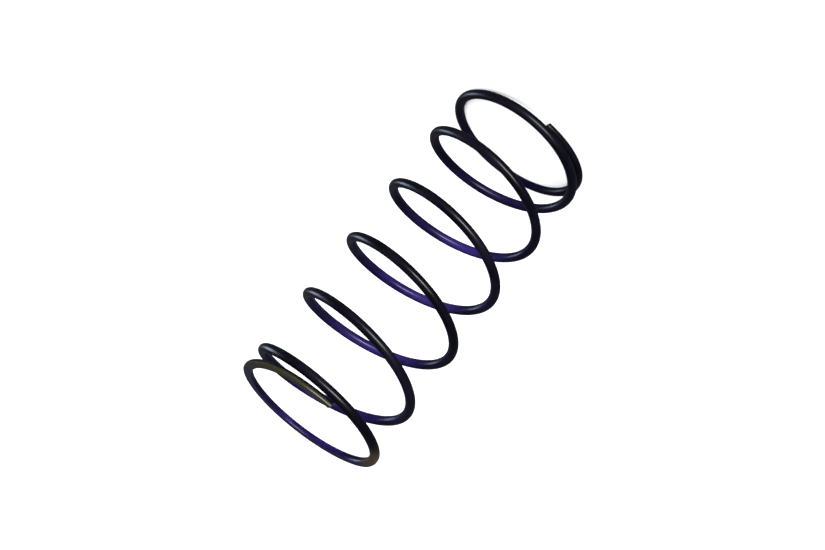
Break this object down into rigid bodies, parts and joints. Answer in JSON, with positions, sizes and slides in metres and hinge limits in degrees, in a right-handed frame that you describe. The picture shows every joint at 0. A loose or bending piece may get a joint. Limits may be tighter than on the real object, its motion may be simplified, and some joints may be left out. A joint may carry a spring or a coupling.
{
  "type": "compression coil spring",
  "caption": "Large left-hand compression coil spring of round coated wire, with closed and ground flat ends, that squeezes along its axis.",
  "frame": {"origin": "centre of the lower seat plane, on the coil axis", "axes": "+Z along the coil axis from the lower seat to the upper seat; +X through the lower wire tip"},
  "size_m": [0.175, 0.175, 0.4083],
  "materials": {
    "coated_wire": "semi-gloss near-black coating with an indigo cast",
    "ground_end_wire": "the same coating, with a dull olive-brown ground seat face"
  },
  "bodies": {
    "lower_end_coil": {"lower_end_coil": "ground_end_wire"},
    "coil_1_arc_1": {"coil_1_arc_1": "coated_wire"},
    "coil_1_arc_2": {"coil_1_arc_2": "coated_wire"},
    "coil_1_arc_3": {"coil_1_arc_3": "coated_wire"},
    "coil_1_arc_4": {"coil_1_arc_4": "coated_wire"},
    "coil_1_arc_5": {"coil_1_arc_5": "coated_wire"},
    "coil_1_arc_6": {"coil_1_arc_6": "coated_wire"},
    "coil_1_arc_7": {"coil_1_arc_7": "coated_wire"},
    "coil_1_arc_8": {"coil_1_arc_8": "coated_wire"},
    "coil_2_arc_1": {"coil_2_arc_1": "coated_wire"},
    "coil_2_arc_2": {"coil_2_arc_2": "coated_wire"},
    "coil_2_arc_3": {"coil_2_arc_3": "coated_wire"},
    "coil_2_arc_4": {"coil_2_arc_4": "coated_wire"},
    "coil_2_arc_5": {"coil_2_arc_5": "coated_wire"},
    "coil_2_arc_6": {"coil_2_arc_6": "coated_wire"},
    "coil_2_arc_7": {"coil_2_arc_7": "coated_wire"},
    "coil_2_arc_8": {"coil_2_arc_8": "coated_wire"},
    "coil_3_arc_1": {"coil_3_arc_1": "coated_wire"},
    "coil_3_arc_2": {"coil_3_arc_2": "coated_wire"},
    "coil_3_arc_3": {"coil_3_arc_3": "coated_wire"},
    "coil_3_arc_4": {"coil_3_arc_4": "coated_wire"},
    "coil_3_arc_5": {"coil_3_arc_5": "coated_wire"},
    "coil_3_arc_6": {"coil_3_arc_6": "coated_wire"},
    "coil_3_arc_7": {"coil_3_arc_7": "coated_wire"},
    "coil_3_arc_8": {"coil_3_arc_8": "coated_wire"},
    "coil_4_arc_1": {"coil_4_arc_1": "coated_wire"},
    "coil_4_arc_2": {"coil_4_arc_2": "coated_wire"},
    "coil_4_arc_3": {"coil_4_arc_3": "coated_wire"},
    "coil_4_arc_4": {"coil_4_arc_4": "coated_wire"},
    "coil_4_arc_5": {"coil_4_arc_5": "coated_wire"},
    "coil_4_arc_6": {"coil_4_arc_6": "coated_wire"},
    "coil_4_arc_7": {"coil_4_arc_7": "coated_wire"},
    "coil_4_arc_8": {"coil_4_arc_8": "coated_wire"},
    "coil_5_arc_1": {"coil_5_arc_1": "coated_wire"},
    "coil_5_arc_2": {"coil_5_arc_2": "coated_wire"},
    "coil_5_arc_3": {"coil_5_arc_3": "coated_wire"},
    "coil_5_arc_4": {"coil_5_arc_4": "coated_wire"},
    "coil_5_arc_5": {"coil_5_arc_5": "coated_wire"},
    "coil_5_arc_6": {"coil_5_arc_6": "coated_wire"},
    "coil_5_arc_7": {"coil_5_arc_7": "coated_wire"},
    "coil_5_arc_8": {"coil_5_arc_8": "coated_wire"},
    "coil_1_front_slice": {"coil_1_front_slice": "coated_wire"},
    "coil_1_back_slice": {"coil_1_back_slice": "coated_wire"},
    "coil_2_front_slice": {"coil_2_front_slice": "coated_wire"},
    "coil_2_back_slice": {"coil_2_back_slice": "coated_wire"},
    "coil_3_front_slice": {"coil_3_front_slice": "coated_wire"},
    "coil_3_back_slice": {"coil_3_back_slice": "coated_wire"},
    "coil_4_front_slice": {"coil_4_front_slice": "coated_wire"},
    "coil_4_back_slice": {"coil_4_back_slice": "coated_wire"},
    "coil_5_front_slice": {"coil_5_front_slice": "coated_wire"},
    "coil_5_back_slice": {"coil_5_back_slice": "coated_wire"},
    "upper_end_coil": {"upper_end_coil": "ground_end_wire"}
  },
  "joints": [
    {"name": "compression", "type": "slide", "parent": "lower_end_coil", "child": "upper_end_coil", "axis": [0, 0, -1], "range_m": [0, 0.26], "stiffness_N_per_m": 6500, "springref_m": -0.006},
    {"name": "coil_1_front_travel", "type": "slide", "parent": "lower_end_coil", "child": "coil_1_front_slice", "axis": [0, -0.031, -0.9995], "range_m": [0, 0.00128]},
    {"name": "coil_1_back_travel", "type": "slide", "parent": "lower_end_coil", "child": "coil_1_back_slice", "axis": [0, 0.0226, -0.9997], "range_m": [0, 0.02173]},
    {"name": "coil_2_front_travel", "type": "slide", "parent": "lower_end_coil", "child": "coil_2_front_slice", "axis": [0, -0.015, -0.9999], "range_m": [0, 0.05273]},
    {"name": "coil_2_back_travel", "type": "slide", "parent": "lower_end_coil", "child": "coil_2_back_slice", "axis": [0, 0.0107, -0.9999], "range_m": [0, 0.08374]},
    {"name": "coil_3_front_travel", "type": "slide", "parent": "lower_end_coil", "child": "coil_3_front_slice", "axis": [0, -0.0081, -1], "range_m": [0, 0.11476]},
    {"name": "coil_3_back_travel", "type": "slide", "parent": "lower_end_coil", "child": "coil_3_back_slice", "axis": [0, 0.0064, -1], "range_m": [0, 0.14577]},
    {"name": "coil_4_front_travel", "type": "slide", "parent": "lower_end_coil", "child": "coil_4_front_slice", "axis": [0, -0.0051, -1], "range_m": [0, 0.17678]},
    {"name": "coil_4_back_travel", "type": "slide", "parent": "lower_end_coil", "child": "coil_4_back_slice", "axis": [0, 0.0038, -1], "range_m": [0, 0.2078]},
    {"name": "coil_5_front_travel", "type": "slide", "parent": "lower_end_coil", "child": "coil_5_front_slice", "axis": [0, -0.0021, -1], "range_m": [0, 0.2388]},
    {"name": "coil_5_back_travel", "type": "slide", "parent": "lower_end_coil", "child": "coil_5_back_slice", "axis": [0, 0.0002, -1], "range_m": [0, 0.25924]},
    {"name": "coil_1_arc_1_tilt", "type": "hinge", "parent": "coil_1_front_slice", "child": "coil_1_arc_1", "pos_m": [-0.09418, -0.42719, 0.02863], "axis": [0.9246, -0.3808, 0.0106], "range_deg": [0, 0.15847]},
    {"name": "coil_1_arc_2_tilt", "type": "hinge", "parent": "coil_1_front_slice", "child": "coil_1_arc_2", "pos_m": [-0.0002, -0.08216, 0.02195], "axis": [0.3853, -0.9223, 0.0285], "range_deg": [0, 1]},
    {"name": "coil_1_arc_3_tilt", "type": "hinge", "parent": "coil_1_front_slice", "child": "coil_1_arc_3", "pos_m": [0.00026, -0.08204, 0.02698], "axis": [-0.3795, -0.9248, 0.0268], "range_deg": [0, 2.39]},
    {"name": "coil_1_arc_4_tilt", "type": "hinge", "parent": "coil_1_front_slice", "child": "coil_1_arc_4", "pos_m": [-0.0433, -0.09307, 0.03333], "axis": [-0.9222, -0.3856, 0.0299], "range_deg": [0, 4]},
    {"name": "coil_1_arc_5_tilt", "type": "hinge", "parent": "coil_1_back_slice", "child": "coil_1_arc_5", "pos_m": [-0.02917, 0.12828, 0.05529], "axis": [-0.9245, 0.381, -0.0085], "range_deg": [0, 5.51]},
    {"name": "coil_1_arc_6_tilt", "type": "hinge", "parent": "coil_1_back_slice", "child": "coil_1_arc_6", "pos_m": [0.00015, 0.08209, 0.05864], "axis": [-0.385, 0.9228, 0.016], "range_deg": [0, 6.61]},
    {"name": "coil_1_arc_7_tilt", "type": "hinge", "parent": "coil_1_back_slice", "child": "coil_1_arc_7", "pos_m": [-0.00014, 0.08204, 0.06181], "axis": [0.3808, 0.9246, 0.0124], "range_deg": [0, 7]},
    {"name": "coil_1_arc_8_tilt", "type": "hinge", "parent": "coil_1_back_slice", "child": "coil_1_arc_8", "pos_m": [0.03387, 0.11642, 0.06593], "axis": [0.9224, 0.3848, 0.0343], "range_deg": [0, 7.02]},
    {"name": "coil_2_arc_1_tilt", "type": "hinge", "parent": "coil_2_front_slice", "child": "coil_2_arc_1", "pos_m": [0.03403, -0.11646, 0.09734], "axis": [0.923, -0.3835, -0.0303], "range_deg": [0, 7.01]},
    {"name": "coil_2_arc_2_tilt", "type": "hinge", "parent": "coil_2_front_slice", "child": "coil_2_arc_2", "pos_m": [-0.00007, -0.08203, 0.10013], "axis": [0.3835, -0.9235, 0.0057], "range_deg": [0, 7.02]},
    {"name": "coil_2_arc_3_tilt", "type": "hinge", "parent": "coil_2_front_slice", "child": "coil_2_arc_3", "pos_m": [0.00006, -0.08202, 0.10149], "axis": [-0.382, -0.9241, 0.0044], "range_deg": [0, 7.02]},
    {"name": "coil_2_arc_4_tilt", "type": "hinge", "parent": "coil_2_front_slice", "child": "coil_2_arc_4", "pos_m": [-0.034, -0.11642, 0.10427], "axis": [-0.922, -0.385, 0.0406], "range_deg": [0, 7.02]},
    {"name": "coil_2_arc_5_tilt", "type": "hinge", "parent": "coil_2_back_slice", "child": "coil_2_arc_5", "pos_m": [-0.03406, 0.1164, 0.1387], "axis": [-0.9222, 0.3847, -0.0392], "range_deg": [0, 7.02]},
    {"name": "coil_2_arc_6_tilt", "type": "hinge", "parent": "coil_2_back_slice", "child": "coil_2_arc_6", "pos_m": [0.00003, 0.08201, 0.14101], "axis": [-0.383, 0.9238, 0.002], "range_deg": [0, 7.02]},
    {"name": "coil_2_arc_7_tilt", "type": "hinge", "parent": "coil_2_back_slice", "child": "coil_2_arc_7", "pos_m": [-0.00003, 0.08201, 0.14169], "axis": [0.3824, 0.924, 0.0016], "range_deg": [0, 7.02]},
    {"name": "coil_2_arc_8_tilt", "type": "hinge", "parent": "coil_2_back_slice", "child": "coil_2_arc_8", "pos_m": [0.03405, 0.11639, 0.144], "axis": [0.9218, 0.3853, 0.0428], "range_deg": [0, 7.02]},
    {"name": "coil_3_arc_1_tilt", "type": "hinge", "parent": "coil_3_front_slice", "child": "coil_3_arc_1", "pos_m": [0.03407, -0.11639, 0.17951], "axis": [0.9219, -0.3852, -0.0423], "range_deg": [0, 7.02]},
    {"name": "coil_3_arc_2_tilt", "type": "hinge", "parent": "coil_3_front_slice", "child": "coil_3_arc_2", "pos_m": [-0.00002, -0.08201, 0.18164], "axis": [0.3828, -0.9238, 0.0007], "range_deg": [0, 7.02]},
    {"name": "coil_3_arc_3_tilt", "type": "hinge", "parent": "coil_3_front_slice", "child": "coil_3_arc_3", "pos_m": [0.00002, -0.08201, 0.18209], "axis": [-0.3826, -0.9239, 0.0006], "range_deg": [0, 7.03]},
    {"name": "coil_3_arc_4_tilt", "type": "hinge", "parent": "coil_3_front_slice", "child": "coil_3_arc_4", "pos_m": [-0.03406, -0.11638, 0.18422], "axis": [-0.9217, -0.3853, 0.0436], "range_deg": [0, 7.02]},
    {"name": "coil_3_arc_5_tilt", "type": "hinge", "parent": "coil_3_back_slice", "child": "coil_3_arc_5", "pos_m": [-0.03406, 0.11638, 0.22003], "axis": [-0.9217, 0.3853, -0.0436], "range_deg": [0, 7.02]},
    {"name": "coil_3_arc_6_tilt", "type": "hinge", "parent": "coil_3_back_slice", "child": "coil_3_arc_6", "pos_m": [0.00002, 0.08201, 0.22216], "axis": [-0.3826, 0.9239, -0.0006], "range_deg": [0, 7.03]},
    {"name": "coil_3_arc_7_tilt", "type": "hinge", "parent": "coil_3_back_slice", "child": "coil_3_arc_7", "pos_m": [-0.00002, 0.08201, 0.22261], "axis": [0.3828, 0.9238, -0.0007], "range_deg": [0, 7.02]},
    {"name": "coil_3_arc_8_tilt", "type": "hinge", "parent": "coil_3_back_slice", "child": "coil_3_arc_8", "pos_m": [0.03407, 0.11639, 0.22474], "axis": [0.9219, 0.3852, 0.0423], "range_deg": [0, 7.02]},
    {"name": "coil_4_arc_1_tilt", "type": "hinge", "parent": "coil_4_front_slice", "child": "coil_4_arc_1", "pos_m": [0.03405, -0.11639, 0.26025], "axis": [0.9218, -0.3853, -0.0428], "range_deg": [0, 7.02]},
    {"name": "coil_4_arc_2_tilt", "type": "hinge", "parent": "coil_4_front_slice", "child": "coil_4_arc_2", "pos_m": [-0.00003, -0.08201, 0.26256], "axis": [0.3824, -0.924, -0.0016], "range_deg": [0, 7.02]},
    {"name": "coil_4_arc_3_tilt", "type": "hinge", "parent": "coil_4_front_slice", "child": "coil_4_arc_3", "pos_m": [0.00003, -0.08201, 0.26324], "axis": [-0.383, -0.9238, -0.002], "range_deg": [0, 7.02]},
    {"name": "coil_4_arc_4_tilt", "type": "hinge", "parent": "coil_4_front_slice", "child": "coil_4_arc_4", "pos_m": [-0.03406, -0.1164, 0.26555], "axis": [-0.9222, -0.3847, 0.0392], "range_deg": [0, 7.02]},
    {"name": "coil_4_arc_5_tilt", "type": "hinge", "parent": "coil_4_back_slice", "child": "coil_4_arc_5", "pos_m": [-0.034, 0.11642, 0.29998], "axis": [-0.922, 0.385, -0.0406], "range_deg": [0, 7.02]},
    {"name": "coil_4_arc_6_tilt", "type": "hinge", "parent": "coil_4_back_slice", "child": "coil_4_arc_6", "pos_m": [0.00006, 0.08202, 0.30276], "axis": [-0.382, 0.9241, -0.0044], "range_deg": [0, 7.02]},
    {"name": "coil_4_arc_7_tilt", "type": "hinge", "parent": "coil_4_back_slice", "child": "coil_4_arc_7", "pos_m": [-0.00007, 0.08203, 0.30412], "axis": [0.3835, 0.9235, -0.0057], "range_deg": [0, 7.02]},
    {"name": "coil_4_arc_8_tilt", "type": "hinge", "parent": "coil_4_back_slice", "child": "coil_4_arc_8", "pos_m": [0.03403, 0.11646, 0.30691], "axis": [0.923, 0.3835, 0.0303], "range_deg": [0, 7.01]},
    {"name": "coil_5_arc_1_tilt", "type": "hinge", "parent": "coil_5_front_slice", "child": "coil_5_arc_1", "pos_m": [0.03387, -0.11642, 0.33832], "axis": [0.9224, -0.3848, -0.0343], "range_deg": [0, 7.02]},
    {"name": "coil_5_arc_2_tilt", "type": "hinge", "parent": "coil_5_front_slice", "child": "coil_5_arc_2", "pos_m": [-0.00014, -0.08204, 0.34244], "axis": [0.3808, -0.9246, -0.0124], "range_deg": [0, 7]},
    {"name": "coil_5_arc_3_tilt", "type": "hinge", "parent": "coil_5_front_slice", "child": "coil_5_arc_3", "pos_m": [0.00016, -0.0821, 0.3457], "axis": [-0.385, -0.9228, -0.016], "range_deg": [0, 6.6]},
    {"name": "coil_5_arc_4_tilt", "type": "hinge", "parent": "coil_5_front_slice", "child": "coil_5_arc_4", "pos_m": [-0.02912, -0.12846, 0.34944], "axis": [-0.9246, -0.3808, 0.0085], "range_deg": [0, 5.5]},
    {"name": "coil_5_arc_5_tilt", "type": "hinge", "parent": "coil_5_back_slice", "child": "coil_5_arc_5", "pos_m": [-0.04318, 0.09328, 0.3723], "axis": [-0.922, 0.386, -0.0299], "range_deg": [0, 3.98]},
    {"name": "coil_5_arc_6_tilt", "type": "hinge", "parent": "coil_5_back_slice", "child": "coil_5_arc_6", "pos_m": [0.00038, 0.08207, 0.37982], "axis": [-0.379, 0.925, -0.0268], "range_deg": [0, 2.38]},
    {"name": "coil_5_arc_7_tilt", "type": "hinge", "parent": "coil_5_back_slice", "child": "coil_5_arc_7", "pos_m": [-0.00029, 0.08222, 0.38603], "axis": [0.3858, 0.9222, -0.0285], "range_deg": [0, 1]},
    {"name": "coil_5_arc_8_tilt", "type": "hinge", "parent": "coil_5_back_slice", "child": "coil_5_arc_8", "pos_m": [-0.09438, 0.42808, 0.38026], "axis": [0.9247, 0.3805, -0.0105], "range_deg": [0, 0.15814]}
  ],
  "couplings": [
    {"joint": "coil_1_front_travel", "follows": "compression", "ratio": 0.004907},
    {"joint": "coil_1_back_travel", "follows": "compression", "ratio": 0.0834},
    {"joint": "coil_2_front_travel", "follows": "compression", "ratio": 0.2024},
    {"joint": "coil_2_back_travel", "follows": "compression", "ratio": 0.32145},
    {"joint": "coil_3_front_travel", "follows": "compression", "ratio": 0.44049},
    {"joint": "coil_3_back_travel", "follows": "compression", "ratio": 0.55954},
    {"joint": "coil_4_front_travel", "follows": "compression", "ratio": 0.67858},
    {"joint": "coil_4_back_travel", "follows": "compression", "ratio": 0.79762},
    {"joint": "coil_5_front_travel", "follows": "compression", "ratio": 0.91662},
    {"joint": "coil_5_back_travel", "follows": "compression", "ratio": 0.9951},
    {"joint": "coil_1_arc_1_tilt", "follows": "compression", "rad_per_m": 0.01061},
    {"joint": "coil_1_arc_2_tilt", "follows": "compression", "rad_per_m": 0.066967},
    {"joint": "coil_1_arc_3_tilt", "follows": "compression", "rad_per_m": 0.15984},
    {"joint": "coil_1_arc_4_tilt", "follows": "compression", "rad_per_m": 0.26773},
    {"joint": "coil_1_arc_5_tilt", "follows": "compression", "rad_per_m": 0.369},
    {"joint": "coil_1_arc_6_tilt", "follows": "compression", "rad_per_m": 0.4426},
    {"joint": "coil_1_arc_7_tilt", "follows": "compression", "rad_per_m": 0.46928},
    {"joint": "coil_1_arc_8_tilt", "follows": "compression", "rad_per_m": 0.46999},
    {"joint": "coil_2_arc_1_tilt", "follows": "compression", "rad_per_m": 0.46992},
    {"joint": "coil_2_arc_2_tilt", "follows": "compression", "rad_per_m": 0.47034},
    {"joint": "coil_2_arc_3_tilt", "follows": "compression", "rad_per_m": 0.47041},
    {"joint": "coil_2_arc_4_tilt", "follows": "compression", "rad_per_m": 0.47014},
    {"joint": "coil_2_arc_5_tilt", "follows": "compression", "rad_per_m": 0.4701},
    {"joint": "coil_2_arc_6_tilt", "follows": "compression", "rad_per_m": 0.47055},
    {"joint": "coil_2_arc_7_tilt", "follows": "compression", "rad_per_m": 0.47057},
    {"joint": "coil_2_arc_8_tilt", "follows": "compression", "rad_per_m": 0.47018},
    {"joint": "coil_3_arc_1_tilt", "follows": "compression", "rad_per_m": 0.47017},
    {"joint": "coil_3_arc_2_tilt", "follows": "compression", "rad_per_m": 0.47062},
    {"joint": "coil_3_arc_3_tilt", "follows": "compression", "rad_per_m": 0.47063},
    {"joint": "coil_3_arc_4_tilt", "follows": "compression", "rad_per_m": 0.4702},
    {"joint": "coil_3_arc_5_tilt", "follows": "compression", "rad_per_m": 0.4702},
    {"joint": "coil_3_arc_6_tilt", "follows": "compression", "rad_per_m": 0.47063},
    {"joint": "coil_3_arc_7_tilt", "follows": "compression", "rad_per_m": 0.47062},
    {"joint": "coil_3_arc_8_tilt", "follows": "compression", "rad_per_m": 0.47017},
    {"joint": "coil_4_arc_1_tilt", "follows": "compression", "rad_per_m": 0.47018},
    {"joint": "coil_4_arc_2_tilt", "follows": "compression", "rad_per_m": 0.47057},
    {"joint": "coil_4_arc_3_tilt", "follows": "compression", "rad_per_m": 0.47055},
    {"joint": "coil_4_arc_4_tilt", "follows": "compression", "rad_per_m": 0.4701},
    {"joint": "coil_4_arc_5_tilt", "follows": "compression", "rad_per_m": 0.47014},
    {"joint": "coil_4_arc_6_tilt", "follows": "compression", "rad_per_m": 0.47041},
    {"joint": "coil_4_arc_7_tilt", "follows": "compression", "rad_per_m": 0.47034},
    {"joint": "coil_4_arc_8_tilt", "follows": "compression", "rad_per_m": 0.46992},
    {"joint": "coil_5_arc_1_tilt", "follows": "compression", "rad_per_m": 0.46999},
    {"joint": "coil_5_arc_2_tilt", "follows": "compression", "rad_per_m": 0.46927},
    {"joint": "coil_5_arc_3_tilt", "follows": "compression", "rad_per_m": 0.44241},
    {"joint": "coil_5_arc_4_tilt", "follows": "compression", "rad_per_m": 0.36834},
    {"joint": "coil_5_arc_5_tilt", "follows": "compression", "rad_per_m": 0.26682},
    {"joint": "coil_5_arc_6_tilt", "follows": "compression", "rad_per_m": 0.15921},
    {"joint": "coil_5_arc_7_tilt", "follows": "compression", "rad_per_m": 0.06674},
    {"joint": "coil_5_arc_8_tilt", "follows": "compression", "rad_per_m": 0.010588}
  ]
}
